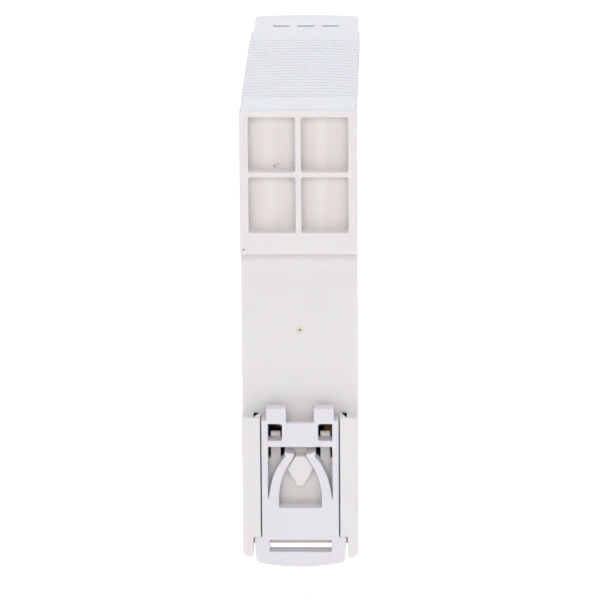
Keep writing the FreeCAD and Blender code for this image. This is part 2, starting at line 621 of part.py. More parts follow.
# ---- magnet, contacts and electronics ------------------------------------------------------
def fixed_core():
    """A stacked E-shaped core with a shading ring groove in its outer poles."""
    core = join(
        box(-STACK_HALF, STACK_HALF, YOKE_FRONT, CORE_REAR, MAGNET_Z - LEG_OUTER, MAGNET_Z + LEG_OUTER),
        box(-STACK_HALF, STACK_HALF, CORE_FACE, YOKE_FRONT, MAGNET_Z - POLE_HALF, MAGNET_Z + POLE_HALF),
        box(-STACK_HALF, STACK_HALF, CORE_FACE, YOKE_FRONT, MAGNET_Z + LEG_INNER, MAGNET_Z + LEG_OUTER),
        box(-STACK_HALF, STACK_HALF, CORE_FACE, YOKE_FRONT, MAGNET_Z - LEG_OUTER, MAGNET_Z - LEG_INNER),
    )
    grooves = []
    for side in (-1, 1):
        z = MAGNET_Z + side * (LEG_INNER + LEG_OUTER) / 2
        grooves.append(box(-STACK_HALF, STACK_HALF, CORE_FACE, CORE_FACE + 1.2, z - 0.4, z + 0.4))
    return cut(core, grooves)


def coil_bobbin():
    tube = box(-4.5, 4.5, -29.0, -9.2, MAGNET_Z - 4.9, MAGNET_Z + 4.9)
    flanges = [box(-8.9, 8.9, y, y + 1.0, MAGNET_Z - 9.3, MAGNET_Z + 9.3) for y in (-29.0, -10.2)]
    bore = box(-STACK_HALF - FIT, STACK_HALF + FIT, -29.0, -9.2,
               MAGNET_Z - POLE_HALF - FIT, MAGNET_Z + POLE_HALF + FIT)
    return cut(join(tube, flanges), bore)


def coil_winding():
    outer = rounded_box(-8.5, 8.5, -27.9, -10.3, MAGNET_Z - 8.9, MAGNET_Z + 8.9, 3.6, (0, 1, 0))
    inner = rounded_box(-4.6, 4.6, -27.9, -10.3, MAGNET_Z - 5.0, MAGNET_Z + 5.0, 0.3, (0, 1, 0))
    return cut(outer, inner)


def bent_wire(radius, bend, start, corner, end):
    """A round wire with one right-angled bend."""
    back = (V(*start) - V(*corner)).normalize()
    ahead = (V(*end) - V(*corner)).normalize()
    bend_in = V(*corner) + back * bend
    bend_out = V(*corner) + ahead * bend
    middle = V(*corner) + (back + ahead) * bend * (1 - math.sqrt(0.5))
    path = Part.Wire([
        Part.makeLine(V(*start), bend_in),
        Part.Arc(bend_in, middle, bend_out).toShape(),
        Part.makeLine(bend_out, V(*end)),
    ])
    return path.makePipe(Part.Face(Part.Wire(Part.makeCircle(radius, V(*start), back))))


def coil_leads():
    """The two ends of the winding: one to the upper bar, one to the board."""
    upper_end = 21.5
    board_end = -24.0
    upper = bent_wire(LEAD_RADIUS, 1.2, (LEAD_X, LEAD_Y, 15.0), (LEAD_X, LEAD_Y, upper_end),
                      (-BAR_HALF, LEAD_Y, upper_end))
    lower = bent_wire(LEAD_RADIUS, 1.2, (LEAD_X, LEAD_Y, -3.0), (LEAD_X, LEAD_Y, board_end),
                      (BOARD_X[1] + 0.02, LEAD_Y, board_end))
    return Part.makeCompound([upper, lower])


def armature():
    plate = box(-STACK_HALF, STACK_HALF, ARMATURE[0], ARMATURE[1], MAGNET_Z - LEG_OUTER, MAGNET_Z + LEG_OUTER)
    ends = []
    for side in (-1, 1):
        ends.append(box(-STACK_HALF, STACK_HALF, ARMATURE[0], ARMATURE[0] + 1.2,
                        MAGNET_Z + min(side * 12.2, side * 13.7), MAGNET_Z + max(side * 12.2, side * 13.7)))
    return cut(plate, ends)


def contact_carrier():
    """The moulded slide between armature and bridges, with its stem and spring arm."""
    block = box(-7.4, 7.4, -40.0, ARMATURE[0] - FIT, MAGNET_Z - 7.4, MAGNET_Z + 7.4)
    towers = pair(2.3, 7.7, -53.5, -40.0, MAGNET_Z - 3.4, MAGNET_Z + 3.4)
    windows = pair(2.9, 7.1, -52.0, BRIDGE_REAR + FIT, MAGNET_Z - 3.4, MAGNET_Z + 3.4)
    stem = box(-2.4, 2.4, -53.5, -40.0, MAGNET_Z - 2.2, MAGNET_Z + 2.2)
    rod_stem = box(-1.6, 1.6, -78.0, -53.5, MAGNET_Z - 2.2, MAGNET_Z + 2.2)
    arm = box(-2.4, 2.4, -40.0, -37.5, SPRING_Z - 3.0, MAGNET_Z - 7.4)
    arm_pin = rod(1.2, (0, -37.5, SPRING_Z), (0, -35.5, SPRING_Z))
    return cut(join(block, towers, stem, rod_stem, arm, arm_pin), windows)


def indicator_nose():
    """The coloured end of the slide, seen and pushed through the front window."""
    nose = rounded_box(-1.9, 1.9, -81.9, -78.0 - FIT, MAGNET_Z - 2.9, MAGNET_Z + 2.9, 0.5, (0, 1, 0))
    return cut(nose, box(-1.9, 1.9, -81.9, -81.6, MAGNET_Z - 0.25, MAGNET_Z + 0.25))


def moving_bridge(x):
    """A bridge with a contact button at each end."""
    strip = box(x - 2.0, x + 2.0, BRIDGE_REAR - 1.0, BRIDGE_REAR, MAGNET_Z - 11.0, MAGNET_Z + 11.0)
    buttons = []
    for side in (-1, 1):
        z = MAGNET_Z + side * CONTACT_REACH
        buttons.append(rod(1.5, (x, BRIDGE_REAR, z), (x, BRIDGE_REAR + 0.15, z)))
    return join(strip, buttons)


def fixed_contacts():
    """Four contact buttons on the ends of the bars."""
    buttons = []
    for x in (POLES[0], POLES[2]):
        for side in (-1, 1):
            z = MAGNET_Z + side * CONTACT_REACH
            buttons.append(rod(1.5, (x, FIXED_FACE, z), (x, FIXED_FACE + 0.5, z)))
    return Part.makeCompound(buttons)


def coil_spring(radius, wire, turns, start, end, x, z):
    """A compression spring along Y, its middle line from start to end, built of tilted half turns."""
    rise = (end - start) / (2 * turns)
    halves = []
    for half in range(2 * turns):
        side = 1 if half % 2 == 0 else -1
        first = V(x + side * radius, start + half * rise, z)
        last = V(x - side * radius, start + (half + 1) * rise, z)
        section = Part.Face(Part.Wire(Part.makeCircle(wire / 2, first, V(0, 0, 1))))
        halves.append(section.revolve((first + last) * 0.5, V(0, 0, side).cross(last - first), 180))
    return halves[0].fuse(halves[1:])


def return_spring():
    return coil_spring(1.9, 0.4, 8, -37.2, -24.3, 0.0, SPRING_Z)


def contact_springs():
    end = BRIDGE_REAR - 1.25
    springs = [coil_spring(1.4, 0.35, 5, -51.75, end, x, MAGNET_Z) for x in (POLES[0], POLES[2])]
    return Part.makeCompound(springs)


def spring_post():
    """A stepped post behind the return spring, standing in the base's ring."""
    step = (0, -24.0, SPRING_Z)
    return join(rod(2.3, step, (0, -8.1, SPRING_Z)), rod(1.2, (0, -31.0, SPRING_Z), step))


def arc_chamber():
    """The insulating wall in front of the contacts, with a fin between the poles."""
    wall = box(-8.9, 8.9, -60.0, -58.5, -7.9, 27.9)
    fins = [
        box(-0.7, 0.7, -58.5, -41.0, MAGNET_Z + 3.0, 27.9),
        box(-0.7, 0.7, -58.5, -41.0, -7.9, MAGNET_Z - 3.0),
    ]
    stem_hole = box(-1.75, 1.75, -60.0, -58.5, MAGNET_Z - 2.35, MAGNET_Z + 2.35)
    return cut(join(wall, fins), stem_hole)


def control_board():
    return box(BOARD_X[0], BOARD_X[1], -60.0, -5.0, -43.5, BOARD_TOP)


def board_parts():
    """What stands on the board: smoothing capacitor, varistor, bridge rectifier and lamp."""
    side = BOARD_X[1] + 0.02
    capacitor = rod(4.0, (side, -18.0, -33.0), (side + 11.0, -18.0, -33.0))
    disc = rod(4.2, (side + 2.0, -32.0, -30.5), (side + 5.0, -32.0, -30.5))
    leads = [box(side, side + 2.5, y - 0.3, y + 0.3, -36.5, -35.9) for y in (-34.0, -30.0)]
    disc_stem = [box(side + 2.0, side + 2.6, y - 0.3, y + 0.3, -36.5, -32.0) for y in (-34.0, -30.0)]
    rectifier = box(side, side + 2.6, -47.0, -40.0, -31.0, -25.0)
    lamp = join(
        rod(1.5, (0, -61.5, PIPE_Z - 5.0), (0, -58.0, PIPE_Z - 5.0)),
        box(side, 0, -59.5, -58.5, PIPE_Z - 5.6, PIPE_Z - 4.4),
    )
    return {
        "smoothing_capacitor": capacitor,
        "varistor": join(disc, leads, disc_stem),
        "rectifier": rectifier,
        "status_lamp": lamp,
    }


def light_pipe():
    """A clear rod from the lamp to the front, with a cranked rear end."""
    return join(
        rod(1.5, (0, FRONT + 0.3, PIPE_Z), (0, -64.0, PIPE_Z)),
        box(-1.4, 1.4, -65.0, -62.0, PIPE_Z - 6.4, PIPE_Z + 1.4),
    )


def core_pad():
    """The rubber pad that takes the blow of the closing magnet."""
    return box(-5.0, 5.0, CORE_REAR + FIT, SIDE_SEAM - FIT, MAGNET_Z - 12.0, MAGNET_Z + 12.0)


# ---- all nodes --------------------------------------------------------------------------
def all_nodes():
    nodes = {
        "rear_base": rear_base(),
        "hood": hood(),
        "front_cap": front_cap(),
        "marking_plate": marking_plate(),
        "rail_foot": rail_foot(),
        "foot_leg_left": mirrored(foot_leg()),
        "foot_leg_right": foot_leg(),
        "core_pad": core_pad(),
        "fixed_core": fixed_core(),
        "coil_bobbin": coil_bobbin(),
        "coil_winding": coil_winding(),
        "coil_leads": coil_leads(),
        "armature": armature(),
        "contact_carrier": contact_carrier(),
        "indicator_nose": indicator_nose(),
        "moving_bridge_1": moving_bridge(POLES[0]),
        "moving_bridge_2": moving_bridge(POLES[2]),
        "contact_springs": contact_springs(),
        "fixed_contacts": fixed_contacts(),
        "return_spring": return_spring(),
        "spring_post": spring_post(),
        "arc_chamber": arc_chamber(),
        "control_board": control_board(),
        "light_pipe": light_pipe(),
    }
    nodes.update(current_bars())
    nodes.update(board_parts())
    number = 0
    for height in (TERMINAL_TOP, TERMINAL_BOTTOM):
        for x in POLES:
            number += 1
            nodes[f"clamp_cage_{number}"] = clamp_cage(x, height)
            nodes[f"terminal_screw_{number}"] = terminal_screw(x, height)
    return nodes


os.makedirs("parts", exist_ok=True)
for name, shape in all_nodes().items():
    shape.exportStep(f"parts/{name}.step")
    bounds = shape.BoundBox
    print(f"{name}: {len(shape.Solids)} solid, valid {shape.isValid()}, volume {shape.Volume:.1f}, "
          f"x {bounds.XMin:.2f} {bounds.XMax:.2f}, y {bounds.YMin:.2f} {bounds.YMax:.2f}, "
          f"z {bounds.ZMin:.2f} {bounds.ZMax:.2f}")
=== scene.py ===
import json
import math

import bmesh
import bpy
from mathutils import Euler, Matrix, Vector

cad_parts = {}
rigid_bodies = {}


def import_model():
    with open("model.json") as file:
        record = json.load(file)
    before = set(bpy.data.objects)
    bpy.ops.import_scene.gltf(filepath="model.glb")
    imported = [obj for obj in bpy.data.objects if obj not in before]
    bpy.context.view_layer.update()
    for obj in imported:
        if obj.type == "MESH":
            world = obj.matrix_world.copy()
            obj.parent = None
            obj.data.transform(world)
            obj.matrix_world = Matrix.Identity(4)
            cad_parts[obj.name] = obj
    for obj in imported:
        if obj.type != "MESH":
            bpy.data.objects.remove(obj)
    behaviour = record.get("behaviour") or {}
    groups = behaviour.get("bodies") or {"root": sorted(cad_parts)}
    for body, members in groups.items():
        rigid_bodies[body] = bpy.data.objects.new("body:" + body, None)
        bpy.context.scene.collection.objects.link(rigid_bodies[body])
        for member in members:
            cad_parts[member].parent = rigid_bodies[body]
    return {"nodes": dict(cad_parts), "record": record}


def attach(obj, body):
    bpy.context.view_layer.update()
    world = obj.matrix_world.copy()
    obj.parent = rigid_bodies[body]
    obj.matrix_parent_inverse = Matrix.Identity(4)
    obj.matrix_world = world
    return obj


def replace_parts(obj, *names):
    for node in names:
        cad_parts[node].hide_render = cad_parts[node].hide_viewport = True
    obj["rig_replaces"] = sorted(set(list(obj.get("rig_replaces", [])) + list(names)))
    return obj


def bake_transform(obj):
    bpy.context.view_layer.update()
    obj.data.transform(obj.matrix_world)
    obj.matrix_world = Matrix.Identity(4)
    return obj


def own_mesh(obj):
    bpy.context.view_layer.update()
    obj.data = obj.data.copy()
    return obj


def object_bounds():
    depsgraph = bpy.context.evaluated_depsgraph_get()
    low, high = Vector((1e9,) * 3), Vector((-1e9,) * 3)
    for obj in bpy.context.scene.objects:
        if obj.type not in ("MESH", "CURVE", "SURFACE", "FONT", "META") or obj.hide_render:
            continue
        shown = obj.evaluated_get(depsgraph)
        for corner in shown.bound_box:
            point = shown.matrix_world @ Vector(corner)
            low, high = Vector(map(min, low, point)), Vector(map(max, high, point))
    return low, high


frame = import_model()
cad_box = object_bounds()
record = frame["record"]
slots = {part["node"]: part["material_slot"] for part in record["subparts"]}
MM = 0.001

# ---- camera, floor and lights ------------------------------------------------------------
CAMERA_PLACE = Vector((-21.3, 879.06, 253.22)) * MM
CAMERA_PITCH = math.radians(-15.816)
CAMERA_TURN = math.radians(181.382)
CAMERA_ROLL = math.radians(-0.391)
CAMERA_LENS = 283.5
SENSOR = 36.0
CAMERA_NEAR = 0.01
FLOOR_DROP = 36.0 * MM      # the part hangs above the floor, as it would from its rail
FLOOR_HALF = 3.0            # from its middle to an edge, in metres
FLOOR_GLOW = 0.21
ROOM_LIGHT = 0.10
ROOM_COLOUR = (0.985, 0.985, 1.0, 1.0)
COOL = (0.99, 0.99, 1.0)
WHITE = (1.0, 1.0, 1.0)
LIGHTS = [                  # name, place, aim and size in metres, power in watts, colour
    ("overhead", (0.0, 0.2, 1.2), (0, 0, 0), 1.3, 7.4, (0.955, 0.97, 1.0)),
    ("backdrop", (0.0, -0.9, 0.9), (0, -0.4, -0.08), 0.8, 7.0, (0.965, 0.975, 1.0)),
    ("camera_left", (0.2, 1.25, 0.55), (0, 0, 0), 0.8, 4.35, COOL),
    ("camera_right", (-0.2, 1.25, 0.55), (0, 0, 0), 0.8, 4.35, COOL),
    ("side_left", (1.3, -0.2, 0.25), (0, 0, 0), 0.8, 3.0, WHITE),
    ("side_right", (-1.3, -0.2, 0.25), (0, 0, 0), 0.8, 3.0, WHITE),
]

# ---- rail foot, in millimetres -----------------------------------------------------------
FOOT_FRONT = 0.8
FOOT_REAR = 4.0
FOOT_EDGE = 0.16            # radius of its edges
LEG_CUT = -34.9             # the legs start to bend here
LEG_SECTION = (3.9, 6.24)   # a leg's width at the cut lies between these
TAB_BOW = (-49.0, 42.8)     # lowest point and radius of the tab's lower edge
FOOT_SIDE = [               # outline from the prong down to the tab: x, z, corner radius
    (2.7, -19.6, 0.15), (2.7, -16.7, 0.35), (6.6, -16.7, 0.35), (6.6, -19.15, 0.12),
    (7.5, -19.15, 0.2), (7.5, -42.9, 0.25), (8.95, -42.9, 0.3), (8.68, -48.15, 1.2),
]
FOOT_OPENING = [            # from the crossbar round the leg to the arch
    (6.25, -24.45, 0.12), (6.28, -34.98, 0.035), (6.2, -34.98, 0.035), (5.98, -33.43, 4.0),
    (5.78, -32.4, 4.0), (5.38, -30.84, 4.0), (4.88, -29.6, 4.0), (4.24, -28.25, 4.0),
    (3.55, -27.22, 2.0), (2.85, -26.34, 0.15), (3.12, -25.52, 0.16), (1.08, -25.95, 0.16),
    (1.3, -26.55, 1.0), (1.6, -27.12, 2.0), (2.09, -27.84, 3.0), (2.7, -28.9, 4.0),
    (3.25, -30.0, 4.0), (3.65, -31.25, 4.0), (3.97, -32.6, 4.0), (4.15, -33.95, 4.0),
    (4.2, -36.9, 0.4),
]
FOOT_WINDOW = [(3.5, -19.8, 0.5), (6.25, -19.8, 0.1), (6.25, -23.2, 0.1), (3.5, -23.2, 0.5)]
FOOT_SLOT = [
    (-6.05, -43.5, 0.15), (6.05, -43.5, 0.15), (6.05, -45.95, 0.15), (-6.05, -45.95, 0.15),
]
FOOT_RELIEFS = [            # blocks left out behind the crossbar and under the prongs
    ((-3.2, 0.0, -24.6), (3.2, 2.7, -18.0)),
    ((-7.0, 0.0, -19.15), (7.0, 1.25, -16.0)),
]
TAB_BOW_X = (7.0, 5.0, 3.0, 1.0)    # points along the tab's bowed edge
LEG_TIP_X = (0.9, 3.3)      # where a leg's free end is found
LEG_TIP_Z = (-27.5, -25.4)
FLANGE_X = (5.9, 8.85)      # the guide flange along each side
FLANGE_FRONT = 0.25
FLANGE_Z = (-42.5, -29.0)
FLANGE_EDGE = 0.1

# ---- return spring, in millimetres -------------------------------------------------------
SPRING_ENDS = (-37.2, -24.3)    # centre of the first and last turn, along Y
SPRING_HEIGHT = -12.0
SPRING_RADIUS = 1.9
SPRING_WIRE = 0.2           # radius of the wire
SPRING_TURNS = 8
SPRING_STEPS = 24           # points in one turn

WELD = 1e-6                 # vertices closer than this, in metres, are one
CUT_SLACK = 1e-7            # how exactly the legs are cut, in metres


# ---- mesh helpers ------------------------------------------------------------------------
def new_piece(name, data):
    """An object in the scene for a mesh, curve, light or camera."""
    piece = bpy.data.objects.new(name, data)
    bpy.context.scene.collection.objects.link(piece)
    return piece


def mesh_from(shape, name):
    """A mesh data block from a bmesh, which is used up."""
    mesh = bpy.data.meshes.new(name)
    shape.to_mesh(mesh)
    shape.free()
    return mesh


def settled(piece):
    """The mesh of a piece with its modifiers applied."""
    graph = bpy.context.evaluated_depsgraph_get()
    mesh = bpy.data.meshes.new_from_object(piece.evaluated_get(graph))
    mesh.transform(piece.matrix_world)
    return mesh


def shaded(piece, sharp_angle=42):
    """Smooth shading over the rounded edges, flat shading on the flats."""
    piece.data.shade_smooth()
    piece.data.set_sharp_from_angle(angle=math.radians(sharp_angle))
    normals = piece.modifiers.new("normals", "WEIGHTED_NORMAL")
    normals.keep_sharp = True
    normals.weight = 90
    return piece


def dressed(piece, *nodes):
    """Give a piece the finish of the CAD nodes that it stands for."""
    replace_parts(piece, *nodes)
    piece.data.materials.clear()
    piece.data.materials.append(MATERIALS[slots[nodes[0]]])


def skin(node):
    """The visible form of a moulded or stamped part, taken from its CAD shape."""
    shape = bmesh.new()
    shape.from_mesh(frame["nodes"][node].data)
    bmesh.ops.remove_doubles(shape, verts=shape.verts, dist=WELD)
    mesh = mesh_from(shape, node)
    if "custom_normal" in mesh.attributes:
        mesh.attributes.remove(mesh.attributes["custom_normal"])
    piece = shaded(new_piece("skin_" + node, mesh))
    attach(piece, body_of(node))
    dressed(piece, node)
    return piece


def body_of(node):
    for body, members in record["behaviour"]["bodies"].items():
        if node in members:
            return body
    raise KeyError(node)


def block_mesh(name, low, high, width=0.0):
    """A block between two corners in millimetres, its edges rounded by a width."""
    shape = bmesh.new()
    bmesh.ops.create_cube(shape, size=1.0)
    size = (Vector(high) - Vector(low)) * MM
    middle = (Vector(high) + Vector(low)) / 2 * MM
    bmesh.ops.scale(shape, vec=size, verts=shape.verts)
    bmesh.ops.translate(shape, vec=middle, verts=shape.verts)
    if width:
        bmesh.ops.bevel(shape, geom=shape.edges[:], offset=width * MM, segments=2, profile=0.5,
                        affect="EDGES")
    return mesh_from(shape, name)


def carved(piece, blocks):
    """Take blocks out of a piece."""
    tools = []
    for low, high in blocks:
        tool = new_piece("tool", block_mesh("tool", low, high))
        cut = piece.modifiers.new("cut", "BOOLEAN")
        cut.operation = "DIFFERENCE"
        cut.solver = "EXACT"
        cut.object = tool
        tools.append(tool)
    mesh = settled(piece)
    piece.modifiers.clear()
    piece.data = mesh
    for tool in tools:
        bpy.data.objects.remove(tool)


# ---- outlines ----------------------------------------------------------------------------
def rounded(corners):
    """Points of a closed outline whose corners (x, z, radius) are rounded."""
    points = []
    for index, (x, z, radius) in enumerate(corners):
        corner = Vector((x, z))
        if radius == 0:
            points.append(corner)
            continue
        before = (Vector(corners[index - 1][:2]) - corner).normalized()
        after = (Vector(corners[(index + 1) % len(corners)][:2]) - corner).normalized()
        half = before.angle(after) / 2
        centre = corner + (before + after).normalized() * (radius / math.sin(half))
        first = corner + before * (radius / math.tan(half)) - centre
        last = corner + after * (radius / math.tan(half)) - centre
        start = math.atan2(first.y, first.x)
        sweep = (math.atan2(last.y, last.x) - start + math.pi) % (2 * math.pi) - math.pi
        steps = max(2, round(abs(sweep) / math.radians(15)))
        for step in range(steps + 1):
            turn = start + sweep * step / steps
            points.append(centre + Vector((math.cos(turn), math.sin(turn))) * radius)
    return points


def mirrored(outline):
    return [(-x, z, radius) for x, z, radius in outline]


def symmetric(side):
    """A half outline on the +X side with its mirror image."""
    return side + mirrored(reversed(side))


def extruded(name, outlines, front, rear, edge):
    """A plate with rounded edges: the first outline, with the others as holes in it."""
    curve = bpy.data.curves.new(name, "CURVE")
    curve.dimensions = "2D"
    curve.fill_mode = "BOTH"
    for outline in outlines:
        points = rounded(outline)
        spline = curve.splines.new("POLY")
        spline.points.add(len(points) - 1)
        for point, place in zip(spline.points, points):
            point.co = (place.x * MM, place.y * MM, 0.0, 1.0)
        spline.use_cyclic_u = True
    curve.extrude = ((rear - front) / 2 - edge) * MM
    curve.bevel_depth = edge * MM
    curve.bevel_resolution = 2
    curve.offset = -edge * MM
    shape = new_piece(name, curve)
    shape.matrix_world = (Matrix.Translation((0, (front + rear) / 2 * MM, 0))
                          @ Matrix.Rotation(math.radians(90), 4, "X"))
    bpy.context.view_layer.update()
    mesh = settled(shape)
    bpy.data.objects.remove(shape)
    return new_piece(name, mesh)


# ---- rail foot ---------------------------------------------------------------------------
def foot_outline():
    """The plate's outline with its bowed lower edge."""
    low, radius = TAB_BOW
    bow = [(x, low + radius - math.sqrt(radius ** 2 - x ** 2), 0) for x in TAB_BOW_X]
    return symmetric(FOOT_SIDE + bow)


def rail_foot():
    """Foot and legs, made as one plate and parted where the legs start to bend."""
    windows = [FOOT_WINDOW, mirrored(FOOT_WINDOW)]
    outlines = [foot_outline(), symmetric(FOOT_OPENING)] + windows + [FOOT_SLOT]
    plate = extruded("rail_foot_plate", outlines, FOOT_FRONT, FOOT_REAR, FOOT_EDGE)
    carved(plate, FOOT_RELIEFS)
    shape = bmesh.new()
    shape.from_mesh(plate.data)
    bmesh.ops.remove_doubles(shape, verts=shape.verts, dist=WELD)
    part_legs(shape)
    legs = []
    for side, node, body in ((1, "foot_leg_right", "leg_right"), (-1, "foot_leg_left", "leg_left")):
        verts = connected(leg_tip(shape, side))
        foot_leg(shape, verts, node)
        legs += verts
    bmesh.ops.delete(shape, geom=legs, context="VERTS")
    capped(shape)
    for side in (-1, 1):
        near, far = sorted(side * x for x in FLANGE_X)
        low = (near, FLANGE_FRONT, FLANGE_Z[0])
        high = (far, FOOT_FRONT, FLANGE_Z[1])
        flange = block_mesh("flange", low, high, FLANGE_EDGE)
        shape.from_mesh(flange)
        bpy.data.meshes.remove(flange)
    plate.data = mesh_from(shape, "rail_foot")
    shaded(plate)
    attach(plate, "foot")
    dressed(plate, "rail_foot")


def part_legs(shape):
    """Cut the plate across at the legs' roots and let the two sides of the cut go."""
    everything = shape.verts[:] + shape.edges[:] + shape.faces[:]
    bmesh.ops.bisect_plane(shape, geom=everything, dist=CUT_SLACK, plane_co=(0, 0, LEG_CUT * MM),
                           plane_no=(0, 0, 1))
    narrow, wide = LEG_SECTION
    seam = [edge for edge in shape.edges
            if all(abs(vert.co.z - LEG_CUT * MM) < 2 * CUT_SLACK
                   and narrow * MM < abs(vert.co.x) < wide * MM
                   for vert in edge.verts)]
    bmesh.ops.split_edges(shape, edges=seam)
    shape.verts.index_update()


def leg_tip(shape, side):
    """The highest vertex of the free end of the leg on one side."""
    near, far = LEG_TIP_X
    low, high = LEG_TIP_Z
    return max((vert for vert in shape.verts
                if near * MM < side * vert.co.x < far * MM and low * MM < vert.co.z < high * MM),
               key=lambda vert: vert.co.z)


def foot_leg(shape, verts, node):
    """One leg, kept from the parted plate as a piece of its own."""
    leg = shape.copy()
    keep = {vert.index for vert in verts}
    leg.verts.ensure_lookup_table()
    rest = [vert for vert in leg.verts if vert.index not in keep]
    bmesh.ops.delete(leg, geom=rest, context="VERTS")
    piece = shaded(new_piece("skin_" + node, mesh_from(capped(leg), node)))
    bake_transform(piece)
    dressed(piece, node)


def connected(start):
    """Every vertex that hangs together with the given one."""
    found = {start}
    edge_of_search = [start]
    while edge_of_search:
        vert = edge_of_search.pop()
        for edge in vert.link_edges:
            other = edge.other_vert(vert)
            if other not in found:
                found.add(other)
                edge_of_search.append(other)
    return found


def capped(shape):
    """Close the openings that parting a mesh left."""
    rims = [edge for edge in shape.edges if len(edge.link_faces) == 1]
    bmesh.ops.holes_fill(shape, edges=rims, sides=0)
    return shape


# ---- return spring -----------------------------------------------------------------------
def return_spring():
    """A coiled wire with closed ends between the post and the slide's arm."""
    start, end = SPRING_ENDS
    points = SPRING_TURNS * SPRING_STEPS
    curve = bpy.data.curves.new("return_spring", "CURVE")
    curve.dimensions = "3D"
    curve.bevel_depth = SPRING_WIRE * MM
    curve.bevel_resolution = 3
    curve.use_fill_caps = True
    spline = curve.splines.new("POLY")
    spline.points.add(points)
    for index, point in enumerate(spline.points):
        share = index / points
        turn = 2 * math.pi * SPRING_TURNS * share
        eased = share - math.sin(4 * math.pi * share) / (8 * math.pi)    # closed end turns
        across = SPRING_RADIUS * math.cos(turn)
        along = start + (end - start) * eased
        up = SPRING_HEIGHT + SPRING_RADIUS * math.sin(turn)
        point.co = (across * MM, along * MM, up * MM, 1.0)
    coil = new_piece("coil", curve)
    bpy.context.view_layer.update()
    mesh = settled(coil)
    bpy.data.objects.remove(coil)
    piece = new_piece("skin_return_spring", mesh)
    piece.data.shade_smooth()
    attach(piece, "casing")
    dressed(piece, "return_spring")
    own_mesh(piece)


# ---- materials ---------------------------------------------------------------------------
def srgb(red, green, blue):
    """A colour given on the 0-255 display scale, as scene-linear values."""
    def linear(value):
        value /= 255
        return value / 12.92 if value <= 0.04045 else ((value + 0.055) / 1.055) ** 2.4
    return (linear(red), linear(green), linear(blue), 1.0)


MIX_COLOURS = (6, 7)        # the colour inputs of a mix node, and its colour output
MIX_RESULT = 2


